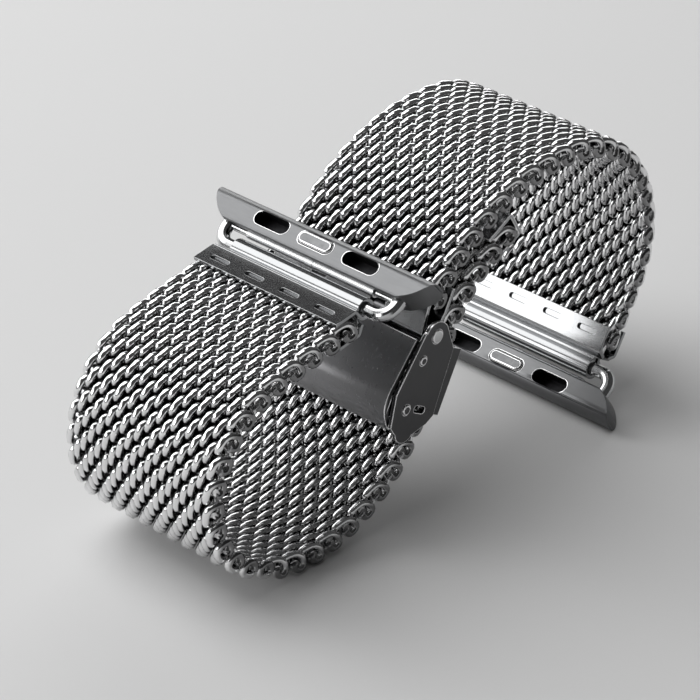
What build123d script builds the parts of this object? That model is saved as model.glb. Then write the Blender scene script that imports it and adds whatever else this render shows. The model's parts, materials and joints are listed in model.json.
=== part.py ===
from build123d import *
import math
import os

os.makedirs("parts", exist_ok=True)

# Milanese mesh band for a watch, lying on its side edge to edge in an S, in millimetres.
# X runs across the band, Y along the S, and Z up from the table. Each piece is drawn as a
# side section in (Y, Z) and carried across the band, as rolled wire and folded sheet are.

# The mesh: flat spirals of wire, one beside the other across the band
MESH_WIDTH = 18.0
ROW_PITCH = 2.05
ROW_DIAMETER = 1.94
ROW_WEB = 1.0
ROW_SIDES = 12
ROWS_PER_PIECE = 4
ROWS_IN_CLASP = 6
ROWS_IN_TAIL = 5
LONG_PIECES_TO_LUG = 4
SHORT_PIECES = 6

# The S leans on its lower lug, and so the loop rests a little off its middle
LEAN_DEG = -1.42

# How the long strap lies: from the middle of the lower loop to the lug, as tangent arcs
LOOP_NEAR_RADIUS, LOOP_NEAR_DEG = 13.2, -25.0
LOOP_SIDE_RADIUS, LOOP_SIDE_DEG = 8.3, -65.0
LOOP_TOP_RADIUS, LOOP_TOP_DEG = 9.2, -72.0
LOOP_END_RADIUS, LOOP_END_DEG = 40.0, -7.0
# and from the same place up through the clasp to the tail
CLASP_RISE_RADIUS, CLASP_RISE_DEG = 14.4, 62.0
CLASP_STRAIGHT = 8.0
TAIL_RADIUS, TAIL_DEG = 14.0, -32.0

# How the short strap lies, from the clasp's cross bar to the other lug
SHORT_START = 2.9
SHORT_KNEE_RADIUS, SHORT_KNEE_DEG = 6.0, -13.0
ARCH_UP_RADIUS, ARCH_UP_DEG = 19.5, -49.0
ARCH_TOP = 0.8
ARCH_DOWN_RADIUS, ARCH_DOWN_DEG = 11.0, -90.0
SHORT_CURL_RADIUS, SHORT_CURL_DEG = 11.0, -32.0

# Folded sheet ends
SHEET = 0.35
MESH_PINCH = 0.03
FERRULE_WIDTH = 17.0
FERRULE_COVER = 2.2
FERRULE_NECK = 0.9
ROLL_WIDTH = 15.3
STAKE_LENGTH, STAKE_WIDTH = 2.1, 0.45
STAKE_PITCH = 4.15
STAKE_COUNT = 4
STAKE_FROM_EDGE = 0.95
TAIL_CAP_LENGTH = 3.2

# Fits
RUNNING_FIT = 0.04
SEAT_FIT = 0.02
CUT_OVERRUN = 1.0

# Stirrup: the bent wire that joins the ferrule to the lug
STIRRUP_WIRE = 1.2
STIRRUP_SIDES = 16
STIRRUP_BEND = 1.4
STIRRUP_REACH = 1.67
STIRRUP_INTO_LUG = 1.3
STIRRUP_A_DEG, STIRRUP_B_DEG = 25.0, -22.0

# Lug bar: slides into the watch case
LUG_LENGTH = 25.6
LUG_DEPTH = 2.75
LUG_THICKNESS = 2.4
LUG_NOSE_RADIUS = 1.1
LUG_EDGE_RADIUS = 0.25
LUG_END_INSET = 2.7
LUG_END_RADIUS = 4.2
POCKET_LENGTH, POCKET_WIDTH = 3.9, 1.3
POCKET_DEPTH = 1.5
POCKET_PITCH = 5.25
POCKET_COUNT = 3
POCKET_FROM_HEEL = 1.4

# Lock button in the middle pocket, on its leaf spring
BUTTON_FIT = 0.06
BUTTON_HEIGHT = 0.9
BUTTON_PROUD = 0.15
BUTTON_CROWN = 0.14
LEAF_THICKNESS = 0.1
LEAF_RISE = 0.12
LEAF_WIDTH = 0.7
LEAF_END_GAP = 0.25

# Spring bar between the stirrup's arms
BAR_TUBE = 0.96
BAR_TUBE_BORE = 0.62
BAR_TIP_SHOWN = 2.0
BAR_COLLAR, BAR_COLLAR_WIDTH = 1.04, 0.8
BAR_TIP = 0.54
BAR_TIP_INSIDE = 3.0
BAR_TIP_IN_ARM = 0.4
BAR_FROM_WIRE = 1.72
BAR_GROOVE_GAP = 0.1
BAR_TIP_TRAVEL = 0.45
BAR_COIL_BORE = 0.3

# Clasp: a folded channel, a hinged cover and their pins, along the mesh inside it
CHEEK = 0.35
CHANNEL_WALL = 0.35
CHANNEL_WALL_TOP = 2.0
CHEEK_SIDE_GAP = 0.2
CHANNEL_FLOOR = 0.35
CHANNEL_FLOOR_GAP = 0.1
CHEEK_FOOT_START, CHEEK_FOOT_END = 1.2, 7.3
CHEEK_FOOT_NEAR_V, CHEEK_FOOT_FAR_V = -0.35, 0.1
CHEEK_NECK_U, CHEEK_NECK_V = 0.4, 0.2
CHEEK_EDGE_U, CHEEK_EDGE_V = 9.2, 3.4
NOSE_U, NOSE_V = -0.5, 2.7
NOSE_RADIUS = 1.1
CHEEK_BACK_V = 4.55
CHEEK_TOP_U, CHEEK_TOP_V = 8.0, 4.3
CROSS_BAR = 1.2
CROSS_BAR_U, CROSS_BAR_V = 8.0, 2.8
CHEEK_TOP_RADIUS = 1.35
CHEEK_SHOULDER_U, CHEEK_SHOULDER_V = 2.4, 5.3
COVER_PIN = 0.9
COVER_PIN_U, COVER_PIN_V = 1.35, 3.43
SPACER_PIN = 0.8
SPACER_PIN_U, SPACER_PIN_V = 5.73, 3.5
PIN_PROUD = 0.12
WINDOW_U, WINDOW_V = 1.55, 1.75
WINDOW_LENGTH, WINDOW_WIDTH = 1.4, 0.6
COVER_SHEET = 0.5
COVER_SIDE_GAP = 0.1
COVER_TOP_U, COVER_TOP_V = 7.35, 4.7
COVER_BEND_U, COVER_BEND_V = 2.6, 5.75
COVER_LIP_U, COVER_LIP_V = -0.75, 4.1
COVER_LIP_BULGE = 0.62
EAR = 0.5
EAR_RADIUS = 0.95
EAR_ROOT = 0.9
FINGER_WIDTH = 1.45
FINGER_SLOT = 1.75
FINGER_WRAP = 0.4
FINGER_ROOM = 1.25
FINGER_ROOT = 1.4
KNUCKLE_MIDDLE = 5.3
KNUCKLE_OUTER = 4.6
GRIP_U, GRIP_THICKNESS = 3.3, 0.6
GRIP_WIDTH = 14.0
GRIP_TEETH = 7
GRIP_TOOTH_SHARE = 0.55
GRIP_NOTCH = 0.35

HALF_MESH = MESH_WIDTH / 2
ROW_RADIUS = ROW_DIAMETER / 2
POCKET_INSIDE = ROW_RADIUS + MESH_PINCH
FLAP_OUTSIDE = POCKET_INSIDE + SHEET
WALL_INSIDE = HALF_MESH + CHEEK_SIDE_GAP
CHEEK_INSIDE = WALL_INSIDE + CHANNEL_WALL
CHEEK_OUTSIDE = CHEEK_INSIDE + CHEEK
STIRRUP_HALF_WIDTH = LUG_LENGTH / 2 - LUG_END_INSET
BAR_TUBE_LENGTH = 2 * (STIRRUP_HALF_WIDTH - STIRRUP_WIRE / 2 - BAR_TIP_SHOWN)


class Spot:
    """A place on the side view: a point and the way the band runs there."""

    def __init__(self, y, z, heading):
        self.y, self.z, self.heading = y, z, heading

    def ahead(self, along, left=0.0):
        """The point so far ahead and to the left of this one."""
        turn = math.radians(self.heading)
        return Spot(
            self.y + along * math.cos(turn) - left * math.sin(turn),
            self.z + along * math.sin(turn) + left * math.cos(turn),
            self.heading,
        )

    def turned(self, degrees):
        return Spot(self.y, self.z, self.heading + degrees)

    def place(self):
        """Moves a sketch drawn ahead (x) and left (y) of this spot to the side view."""
        return Plane.YZ * Pos(self.y, self.z) * Rot(0, 0, self.heading)


class Route:
    """A centre line of straights and tangent arcs, read by the length walked on it."""

    def __init__(self, start):
        self.start = start
        self.legs = []

    def straight(self, length):
        self.legs.append((length, 0.0))
        return self

    def arc(self, radius, degrees):
        self.legs.append((radius * math.radians(abs(degrees)), degrees))
        return self

    def at(self, walked):
        """The place so far along, or straight on from the end."""
        spot = self.start
        for length, degrees in self.legs:
            step = min(walked, length)
            part = degrees * step / length
            half = math.radians(part) / 2
            chord = step * math.sin(half) / half if part else step
            spot = spot.turned(part / 2).ahead(chord).turned(part / 2)
            walked -= step
            if walked <= 0:
                return spot
        return spot.ahead(walked)


def across(sketch, half_width, middle=0.0):
    """Carries a side section across the band, as far each side of its middle."""
    return Pos(middle, 0, 0) * extrude(sketch, half_width, both=True)


def rod(spot, diameter, start_x, end_x):
    """A round rod across the band, centred on a spot of the side view."""
    return across(spot.place() * Circle(diameter / 2), (end_x - start_x) / 2, (start_x + end_x) / 2)


# Routes of the two straps, and the rows along them

BOTTOM = Spot(0, ROW_RADIUS, 180 + LEAN_DEG)
to_lug = (
    Route(BOTTOM)
    .arc(LOOP_NEAR_RADIUS, LOOP_NEAR_DEG)
    .arc(LOOP_SIDE_RADIUS, LOOP_SIDE_DEG)
    .arc(LOOP_TOP_RADIUS, LOOP_TOP_DEG)
    .arc(LOOP_END_RADIUS, LOOP_END_DEG)
    .straight(ROW_PITCH)
)
to_tail = (
    Route(BOTTOM.turned(180))
    .arc(CLASP_RISE_RADIUS, CLASP_RISE_DEG)
    .straight(CLASP_STRAIGHT)
    .arc(TAIL_RADIUS, TAIL_DEG)
    .straight(ROW_PITCH)
)
CLASP = to_tail.at(CLASP_RISE_RADIUS * math.radians(CLASP_RISE_DEG))
CROSS_BAR_SPOT = CLASP.ahead(CROSS_BAR_U, CROSS_BAR_V)
short_route = (
    Route(CROSS_BAR_SPOT)
    .straight(SHORT_START)
    .arc(SHORT_KNEE_RADIUS, SHORT_KNEE_DEG)
    .arc(ARCH_UP_RADIUS, ARCH_UP_DEG)
    .straight(ARCH_TOP)
    .arc(ARCH_DOWN_RADIUS, ARCH_DOWN_DEG)
    .arc(SHORT_CURL_RADIUS, SHORT_CURL_DEG)
    .straight(ROW_PITCH)
)


def rows_on(route, first, count, start=0.0):
    """The middles of some rows on a route, counted from a start on it."""
    return [route.at(start + (first + n + 0.5) * ROW_PITCH) for n in range(count)]


def mesh_piece(rows):
    """Rows of the mesh that bend as one: a rod of a few sides each, with a web between them."""
    section = Sketch()
    for row in rows:
        section += Pos(row.y, row.z) * RegularPolygon(ROW_RADIUS, ROW_SIDES, rotation=row.heading)
    for one, two in zip(rows, rows[1:]):
        run = math.hypot(two.y - one.y, two.z - one.z)
        slope = math.degrees(math.atan2(two.z - one.z, two.y - one.y))
        middle = Pos((one.y + two.y) / 2, (one.z + two.z) / 2)
        section += middle * Rot(0, 0, slope) * Rectangle(run, ROW_WEB)
    return across(Plane.YZ * section, HALF_MESH)


# Folded sheet ends


def teardrop(half_height, flat_end, centre, radius, start):
    """A flap pair's outline: straight at the mesh, then drawn in to a round roll."""
    reach = centre - flat_end
    drop = half_height - radius
    lean = math.asin(drop / math.hypot(reach, drop)) if drop else 0.0
    edge = (centre + radius * math.sin(lean), radius * math.cos(lean))
    top = Line((start, half_height), (flat_end, half_height))
    slope = Line((flat_end, half_height), edge)
    nose = ThreePointArc(edge, (centre + radius, 0), (edge[0], -edge[1]))
    back = Line((edge[0], -edge[1]), (flat_end, -half_height))
    low = Line((flat_end, -half_height), (start, -half_height))
    close = Line((start, -half_height), (start, half_height))
    return make_face(top + slope + nose + back + low + close)


def roll_centre(wire):
    """How far past the mesh's end the roll of a ferrule is centred."""
    return FERRULE_NECK + wire / 2 + RUNNING_FIT + SHEET


def folded_sheet(wire):
    """The side section of a ferrule: one sheet folded round a wire, both flaps on the mesh."""
    centre = roll_centre(wire)
    inside = wire / 2 + RUNNING_FIT
    outer = teardrop(FLAP_OUTSIDE, 0, centre, inside + SHEET, -FERRULE_COVER)
    inner = teardrop(POCKET_INSIDE, 0, centre, inside, -FERRULE_COVER - CUT_OVERRUN)
    return outer - inner


def roll_trim(spot, wire, before, start_x, end_x):
    """What is cut off the roll, from so far before its middle, from one X to another."""
    room = 2 * FLAP_OUTSIDE
    start = roll_centre(wire) - before
    length = before + FLAP_OUTSIDE + CUT_OVERRUN
    sketch = Pos(start + length / 2, 0) * Rectangle(length, 2 * room)
    return across(spot.place() * sketch, (end_x - start_x) / 2, (start_x + end_x) / 2)


def stake_slot(spot, middle_x, side):
    """One oval opening punched through the flap on the wrist side."""
    seat = spot.ahead(-FERRULE_COVER + STAKE_FROM_EDGE, side * FLAP_OUTSIDE)
    face = Plane(
        origin=(middle_x, seat.y, seat.z),
        x_dir=(1, 0, 0),
        z_dir=direction(spot.heading + side * 90),
    )
    depth = SHEET + MESH_PINCH
    return extrude(face * SlotOverall(STAKE_LENGTH, STAKE_WIDTH), depth, both=True)


def direction(heading):
    """The way a heading of the side view points, in the part's frame."""
    turn = math.radians(heading)
    return (0, math.cos(turn), math.sin(turn))


def end_ferrule(spot, side):
    """The ferrule at a lug: its roll is shorter than its flaps, to clear the wire's bends."""
    body = across(spot.place() * folded_sheet(STIRRUP_WIRE), FERRULE_WIDTH / 2)
    for sign in (-1, 1):
        near, far = sorted((sign * ROLL_WIDTH / 2, sign * (FERRULE_WIDTH / 2 + CUT_OVERRUN)))
        body -= roll_trim(spot, STIRRUP_WIRE, roll_centre(STIRRUP_WIRE) - FERRULE_NECK, near, far)
    for number in range(STAKE_COUNT):
        middle = (number - (STAKE_COUNT - 1) / 2) * STAKE_PITCH
        body -= stake_slot(spot, middle, side)
    return body


def knuckle_ferrule(spot):
    """The short strap's ferrule at the clasp, rolled in three knuckles on the cross bar."""
    half = KNUCKLE_MIDDLE / 2 + FINGER_SLOT + KNUCKLE_OUTER
    body = across(spot.place() * folded_sheet(CROSS_BAR), half)
    for sign in (-1, 1):
        near = sign * KNUCKLE_MIDDLE / 2
        far = sign * (KNUCKLE_MIDDLE / 2 + FINGER_SLOT)
        body -= roll_trim(spot, CROSS_BAR, FINGER_ROOM, *sorted((near, far)))
    for number in range(STAKE_COUNT):
        middle = (number - (STAKE_COUNT - 1) / 2) * STAKE_PITCH
        body -= stake_slot(spot, middle, -1)
    return body


def tail_cap(spot):
    """The folded sheet cap that closes the tail of the long strap."""
    front = SHEET
    back = front - TAIL_CAP_LENGTH
    outer = Pos((front + back) / 2, 0) * Rectangle(front - back, 2 * FLAP_OUTSIDE)
    corners = outer.vertices().group_by(Axis.X)[-1]
    outer = fillet(corners, SHEET + MESH_PINCH)
    room = TAIL_CAP_LENGTH - SHEET + CUT_OVERRUN
    inner = Pos(-room / 2, 0) * Rectangle(room, 2 * POCKET_INSIDE)
    return across(spot.place() * (outer - inner), FERRULE_WIDTH / 2)


# Adapter: stirrup, lug bar, lock button and spring bar


def stirrup_plane(spot, side):
    """The plane of a stirrup: X across the band, Y towards the lug, Z out of the wrist side."""
    return Plane(
        origin=(0, spot.y, spot.z),
        x_dir=(1, 0, 0),
        z_dir=direction(spot.heading + side * 90),
    )


def along_plane(plane, spot, amount):
    """The sign of the plane's own Y on the way from the wire to the lug."""
    ahead = Vector(*direction(spot.heading))
    return amount if plane.y_dir.dot(ahead) > 0 else -amount


def stirrup(spot, side):
    """A wire bent twice, with its ends in the lug and a dimple in each arm for the bar."""
    plane = stirrup_plane(spot, side)
    reach = along_plane(plane, spot, STIRRUP_REACH + STIRRUP_INTO_LUG)
    half = STIRRUP_HALF_WIDTH
    path = plane * FilletPolyline(
        (-half, reach), (-half, 0), (half, 0), (half, reach), radius=STIRRUP_BEND
    )
    section = RegularPolygon(STIRRUP_WIRE / 2, STIRRUP_SIDES)
    wire = sweep(Plane(origin=path @ 0, z_dir=path % 0) * section, path=path)
    bar = spot.ahead(BAR_FROM_WIRE)
    deep = half - STIRRUP_WIRE / 2 + BAR_TIP_IN_ARM + SEAT_FIT
    return wire - rod(bar, BAR_TIP + 2 * RUNNING_FIT, -deep, deep)


def lug_outline():
    """The lug seen on its slotted face: longer at the outer edge, with full round ends."""
    half = LUG_LENGTH / 2
    inner = half - LUG_END_INSET
    chord = Vector(half - inner, LUG_DEPTH)
    bow = LUG_END_RADIUS - math.sqrt(LUG_END_RADIUS**2 - (chord.length / 2) ** 2)
    out = Vector(chord.Y, -chord.X).normalized() * bow
    right = ((inner + half) / 2 + out.X, LUG_DEPTH / 2 + out.Y)
    left = (-right[0], right[1])
    edges = Line((-inner, 0), (inner, 0))
    edges += ThreePointArc((inner, 0), right, (half, LUG_DEPTH))
    edges += Line((half, LUG_DEPTH), (-half, LUG_DEPTH))
    edges += ThreePointArc((-half, LUG_DEPTH), left, (-inner, 0))
    return make_face(edges)


def lug_section():
    """The lug's section: square at the stirrup, round at the nose that enters the case."""
    box = Pos(LUG_DEPTH / 2, -LUG_THICKNESS / 2) * Rectangle(LUG_DEPTH, LUG_THICKNESS)
    nose = box.vertices().group_by(Axis.X)[-1]
    box = fillet(nose, LUG_NOSE_RADIUS)
    heel = box.vertices().group_by(Axis.X)[0]
    return fillet(heel, LUG_EDGE_RADIUS)


def lug_bar(spot, side):
    """The bar that slides into the watch: pockets above, and a groove for the spring bar."""
    heel = spot.ahead(STIRRUP_REACH, side * LUG_THICKNESS / 2)
    face = stirrup_plane(heel, side)
    flip = along_plane(face, heel, 1)
    outline = lug_outline() if flip > 0 else mirror(lug_outline(), Plane.XZ)
    slab = extrude(face * outline, -LUG_THICKNESS)
    section = lug_section() if side > 0 else mirror(lug_section(), Plane.XZ)
    body = slab & across(heel.place() * section, LUG_LENGTH / 2)
    for number in range(POCKET_COUNT):
        middle = (number - (POCKET_COUNT - 1) / 2) * POCKET_PITCH
        oval = SlotOverall(POCKET_LENGTH, POCKET_WIDTH)
        seat = Pos(middle, flip * POCKET_FROM_HEEL)
        body -= extrude(face * seat * oval, -POCKET_DEPTH)
    groove = STIRRUP_HALF_WIDTH - STIRRUP_WIRE / 2
    body -= rod(spot.ahead(BAR_FROM_WIRE), BAR_TUBE + 2 * BAR_GROOVE_GAP, -groove, groove)
    reach = STIRRUP_REACH + STIRRUP_INTO_LUG + SEAT_FIT
    for sign in (-1, 1):
        socket = Plane(
            origin=(sign * STIRRUP_HALF_WIDTH, spot.y, spot.z),
            z_dir=direction(spot.heading),
        )
        body -= extrude(socket * Circle(STIRRUP_WIRE / 2 + SEAT_FIT), reach)
    return body


def pocket_plane(spot, side):
    """The plane of the slotted face, centred on the middle pocket."""
    return stirrup_plane(spot.ahead(STIRRUP_REACH + POCKET_FROM_HEEL, side * LUG_THICKNESS / 2), side)


def lock_button(spot, side):
    """The sprung button in the middle pocket, with a crowned top."""
    oval = SlotOverall(POCKET_LENGTH - 2 * BUTTON_FIT, POCKET_WIDTH - 2 * BUTTON_FIT)
    body = extrude(oval, BUTTON_HEIGHT)
    body = chamfer(body.edges().group_by(Axis.Z)[-1], BUTTON_CROWN)
    return pocket_plane(spot, side) * Pos(0, 0, BUTTON_PROUD - BUTTON_HEIGHT) * body


def lock_spring(spot, side):
    """The bowed leaf under the button, drawn at the height that it has when pressed."""
    half = POCKET_LENGTH / 2 - LEAF_END_GAP
    low = SEAT_FIT - POCKET_DEPTH
    strip = Line((half, low), (half, low + LEAF_THICKNESS))
    strip += Line((-half, low + LEAF_THICKNESS), (-half, low))
    for height in (low, low + LEAF_THICKNESS):
        strip += ThreePointArc((-half, height), (0, height + LEAF_RISE), (half, height))
    leaf = extrude(Plane.XZ * make_face(strip), LEAF_WIDTH / 2, both=True)
    return pocket_plane(spot, side) * leaf


def spring_bar_tube(bar):
    """The tube of the spring bar, with the collar at its middle."""
    half = BAR_TUBE_LENGTH / 2
    body = rod(bar, BAR_TUBE, -half, half)
    body += rod(bar, BAR_COLLAR, -BAR_COLLAR_WIDTH / 2, BAR_COLLAR_WIDTH / 2)
    return body - rod(bar, BAR_TUBE_BORE, -half - CUT_OVERRUN, half + CUT_OVERRUN)


def spring_bar_tip(bar, sign):
    """One sprung tip: it runs in the tube's bore and stands in the arm's dimple."""
    outer = STIRRUP_HALF_WIDTH - STIRRUP_WIRE / 2 + BAR_TIP_IN_ARM
    inner = BAR_TUBE_LENGTH / 2 - BAR_TIP_INSIDE
    return rod(bar, BAR_TIP, *sorted((sign * outer, sign * inner)))


def spring_bar_coil(bar):
    """The coil between the tips, drawn at the length that it has with both pressed in."""
    half = BAR_TUBE_LENGTH / 2 - BAR_TIP_INSIDE - BAR_TIP_TRAVEL - SEAT_FIT
    coil = rod(bar, BAR_TIP, -half, half)
    return coil - rod(bar, BAR_COIL_BORE, -half - CUT_OVERRUN, half + CUT_OVERRUN)


# Clasp


def cheek_outline():
    """One cheek of the channel: a round nose below, a sloping back, round at the cross bar."""
    blob = Pos(NOSE_U, NOSE_V) * Circle(NOSE_RADIUS)
    blob += Pos(CROSS_BAR_U, CROSS_BAR_V) * Circle(CHEEK_TOP_RADIUS)
    body = Polygon(
        (CHEEK_NECK_U, CHEEK_NECK_V),
        (CHEEK_FOOT_START, CHEEK_FOOT_NEAR_V),
        (CHEEK_FOOT_END, CHEEK_FOOT_FAR_V),
        (CHEEK_EDGE_U, CHEEK_EDGE_V - CHEEK_TOP_RADIUS),
        (CHEEK_TOP_U, CHEEK_TOP_V),
        (CHEEK_SHOULDER_U, CHEEK_SHOULDER_V),
        (NOSE_U, CHEEK_BACK_V),
        (NOSE_U - NOSE_RADIUS, NOSE_V),
        align=None,
    )
    return blob + body


def clasp_channel():
    """The folded channel that the mesh runs through: a floor, two walls and two cheeks."""
    floor_in = -ROW_RADIUS - CHANNEL_FLOOR_GAP
    length = CHEEK_FOOT_END - CHEEK_FOOT_START
    middle_u = (CHEEK_FOOT_START + CHEEK_FOOT_END) / 2
    floor = Pos(middle_u, floor_in - CHANNEL_FLOOR / 2) * Rectangle(length, CHANNEL_FLOOR)
    body = across(CLASP.place() * floor, CHEEK_INSIDE)
    height = CHANNEL_WALL_TOP - floor_in + CHANNEL_FLOOR
    wall = Pos(middle_u, CHANNEL_WALL_TOP - height / 2) * Rectangle(length, height)
    window = Pos(WINDOW_U, WINDOW_V) * Rot(0, 0, 90) * SlotOverall(WINDOW_LENGTH, WINDOW_WIDTH)
    cheek = cheek_outline() - window
    for u, v, pin in (
        (COVER_PIN_U, COVER_PIN_V, COVER_PIN),
        (SPACER_PIN_U, SPACER_PIN_V, SPACER_PIN),
        (CROSS_BAR_U, CROSS_BAR_V, CROSS_BAR),
    ):
        cheek -= Pos(u, v) * Circle(pin / 2 + SEAT_FIT)
    for sign in (-1, 1):
        wall_x = sign * (WALL_INSIDE + CHANNEL_WALL / 2)
        body += across(CLASP.place() * (wall - window), CHANNEL_WALL / 2, wall_x)
        cheek_x = sign * (CHEEK_INSIDE + CHEEK / 2)
        body += across(CLASP.place() * cheek, CHEEK / 2, cheek_x)
    return body


def cover_section():
    """The cover's side section: flat, then bent over a large radius to its lip."""
    top, bend, lip = (
        Vector(COVER_TOP_U, COVER_TOP_V),
        Vector(COVER_BEND_U, COVER_BEND_V),
        Vector(COVER_LIP_U, COVER_LIP_V),
    )
    chord = lip - bend
    out = Vector(chord.Y, -chord.X).normalized()
    if out.Y < 0:
        out = out * -1
    crest = (bend + lip) * 0.5 + out * COVER_LIP_BULGE
    line = Line(top, bend) + ThreePointArc(bend, crest, lip)
    inner = offset(line, COVER_SHEET, side=Side.LEFT, closed=False)
    if inner.center().Y > line.center().Y:
        inner = offset(line, COVER_SHEET, side=Side.RIGHT, closed=False)
    starts = [inner.wires()[0] @ 0, inner.wires()[0] @ 1]
    starts.sort(key=lambda point: (point - top).length)
    rim = Line(top, starts[0]) + Line(lip, starts[1])
    return make_face(line.edges() + inner.edges() + rim.edges())


def clasp_cover():
    """The brushed cover: it turns on the lower pin, and its two fingers grip the cross bar."""
    half = WALL_INSIDE - COVER_SIDE_GAP
    body = across(CLASP.place() * cover_section(), half)
    eye = Pos(COVER_PIN_U, COVER_PIN_V) * Circle(EAR_RADIUS)
    stem = Pos(COVER_PIN_U, (COVER_PIN_V + COVER_BEND_V - COVER_SHEET) / 2)
    eye += stem * Rectangle(2 * EAR_ROOT, COVER_BEND_V - COVER_SHEET - COVER_PIN_V)
    eye -= Pos(COVER_PIN_U, COVER_PIN_V) * Circle(COVER_PIN / 2 + RUNNING_FIT)
    for sign in (-1, 1):
        body += across(CLASP.place() * eye, EAR / 2, sign * (half - EAR / 2))
    reach = CROSS_BAR / 2 + RUNNING_FIT
    hook = Pos(CROSS_BAR_U, CROSS_BAR_V) * Circle(reach + FINGER_WRAP)
    bridge_end = Vector(COVER_TOP_U, COVER_TOP_V - COVER_SHEET / 2)
    hook += Polygon(
        (COVER_TOP_U - FINGER_ROOT, bridge_end.Y + COVER_SHEET / 2),
        (COVER_TOP_U, COVER_TOP_V),
        (CROSS_BAR_U + reach, CROSS_BAR_V + reach),
        (CROSS_BAR_U, CROSS_BAR_V + reach),
        (COVER_TOP_U - FINGER_ROOT, COVER_TOP_V - COVER_SHEET / 2),
        align=None,
    )
    hook -= Pos(CROSS_BAR_U, CROSS_BAR_V) * Circle(reach)
    below = Pos(CROSS_BAR_U, CROSS_BAR_V - CUT_OVERRUN) * Rectangle(
        2 * (reach + FINGER_WRAP) + CUT_OVERRUN, 2 * CUT_OVERRUN
    )
    behind = Pos(CROSS_BAR_U - CUT_OVERRUN - reach, CROSS_BAR_V) * Rectangle(
        2 * CUT_OVERRUN, 2 * reach
    )
    hook -= below + behind
    middle_x = (KNUCKLE_MIDDLE + FINGER_SLOT) / 2
    for sign in (-1, 1):
        body += across(CLASP.place() * hook, FINGER_WIDTH / 2, sign * middle_x)
    return body


def clasp_pin(u, v, diameter):
    """A pin across the channel, with its ends a little proud of the cheeks."""
    half = CHEEK_OUTSIDE + PIN_PROUD
    return rod(CLASP.ahead(u, v), diameter, -half, half)


def grip_bar():
    """The toothed bar inside the cover, which bites between two rows of the mesh."""
    top = COVER_BEND_V - COVER_SHEET
    foot = ROW_RADIUS + CHANNEL_FLOOR_GAP
    blade = Pos(GRIP_U, (top + foot) / 2) * Rectangle(GRIP_THICKNESS, top - foot)
    body = across(CLASP.place() * blade, GRIP_WIDTH / 2)
    keep = across(CLASP.place() * cover_room(), GRIP_WIDTH)
    body = body & keep
    pitch = GRIP_WIDTH / GRIP_TEETH
    gap = pitch * (1 - GRIP_TOOTH_SHARE)
    cut = Pos(GRIP_U, foot) * Rectangle(GRIP_THICKNESS + CUT_OVERRUN, 2 * GRIP_NOTCH)
    for number in range(GRIP_TEETH - 1):
        middle = (number - (GRIP_TEETH - 2) / 2) * pitch
        body -= across(CLASP.place() * cut, gap / 2, middle)
    return body


def cover_room():
    """The space under the cover's flat part, which the grip bar fills to the sheet."""
    slope = (COVER_TOP_V - COVER_BEND_V) / (COVER_TOP_U - COVER_BEND_U)
    drop = COVER_SHEET * math.hypot(1, slope) + SEAT_FIT
    left, right = GRIP_U - GRIP_THICKNESS, GRIP_U + GRIP_THICKNESS
    return Polygon(
        (left, 0),
        (right, 0),
        (right, COVER_BEND_V + (right - COVER_BEND_U) * slope - drop),
        (left, COVER_BEND_V + (left - COVER_BEND_U) * slope - drop),
        align=None,
    )


# All pieces, by name


def long_strap():
    """The rows of the long strap's pieces, by name, and how many lead to the tail."""
    half = ROWS_PER_PIECE // 2
    pieces = {"long_mesh_loop": rows_on(to_lug, 0, half)[::-1] + rows_on(to_tail, 0, half)}
    for number in range(LONG_PIECES_TO_LUG):
        first = half + number * ROWS_PER_PIECE
        pieces[f"long_mesh_lug_{number + 1}"] = rows_on(to_lug, first, ROWS_PER_PIECE)
    count = half
    for name, size in (
        ("long_mesh_rise", ROWS_PER_PIECE),
        ("long_mesh_clasp", ROWS_IN_CLASP),
        ("long_mesh_tail", ROWS_IN_TAIL),
    ):
        pieces[name] = rows_on(to_tail, count, size)
        count += size
    return pieces, count


def short_strap():
    """The rows of the short strap's pieces, from the clasp to its lug, and its length."""
    start = roll_centre(CROSS_BAR)
    pieces = {}
    for number in range(SHORT_PIECES):
        first = number * ROWS_PER_PIECE
        pieces[f"short_mesh_{number + 1}"] = rows_on(short_route, first, ROWS_PER_PIECE, start)
    return pieces, start + SHORT_PIECES * ROWS_PER_PIECE * ROW_PITCH


def edge_spot(route, walked):
    """The straight on from the outer side of a strap's last row."""
    row = route.at(walked - ROW_PITCH / 2)
    return row.ahead(ROW_PITCH / 2)


long_pieces, tail_rows = long_strap()
short_pieces, short_length = short_strap()
lug_rows = ROWS_PER_PIECE // 2 + LONG_PIECES_TO_LUG * ROWS_PER_PIECE
END_A = edge_spot(to_lug, lug_rows * ROW_PITCH)
END_B = edge_spot(short_route, short_length)
TAIL_END = edge_spot(to_tail, tail_rows * ROW_PITCH)
WIRE_A = END_A.ahead(roll_centre(STIRRUP_WIRE)).turned(STIRRUP_A_DEG)
WIRE_B = END_B.ahead(roll_centre(STIRRUP_WIRE)).turned(STIRRUP_B_DEG)

parts = {}
for name, rows in (long_pieces | short_pieces).items():
    parts[name] = mesh_piece(rows)
for letter, end, wire, side in (("a", END_A, WIRE_A, 1), ("b", END_B, WIRE_B, -1)):
    bar = wire.ahead(BAR_FROM_WIRE)
    parts[f"end_ferrule_{letter}"] = end_ferrule(end, side)
    parts[f"stirrup_{letter}"] = stirrup(wire, side)
    parts[f"lug_bar_{letter}"] = lug_bar(wire, side)
    parts[f"lock_button_{letter}"] = lock_button(wire, side)
    parts[f"lock_spring_{letter}"] = lock_spring(wire, side)
    parts[f"spring_bar_tube_{letter}"] = spring_bar_tube(bar)
    parts[f"spring_bar_coil_{letter}"] = spring_bar_coil(bar)
    parts[f"spring_bar_tip_{letter}_near"] = spring_bar_tip(bar, 1)
    parts[f"spring_bar_tip_{letter}_far"] = spring_bar_tip(bar, -1)
knuckle_spot = Spot(CROSS_BAR_SPOT.y, CROSS_BAR_SPOT.z, CROSS_BAR_SPOT.heading + 180)
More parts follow.
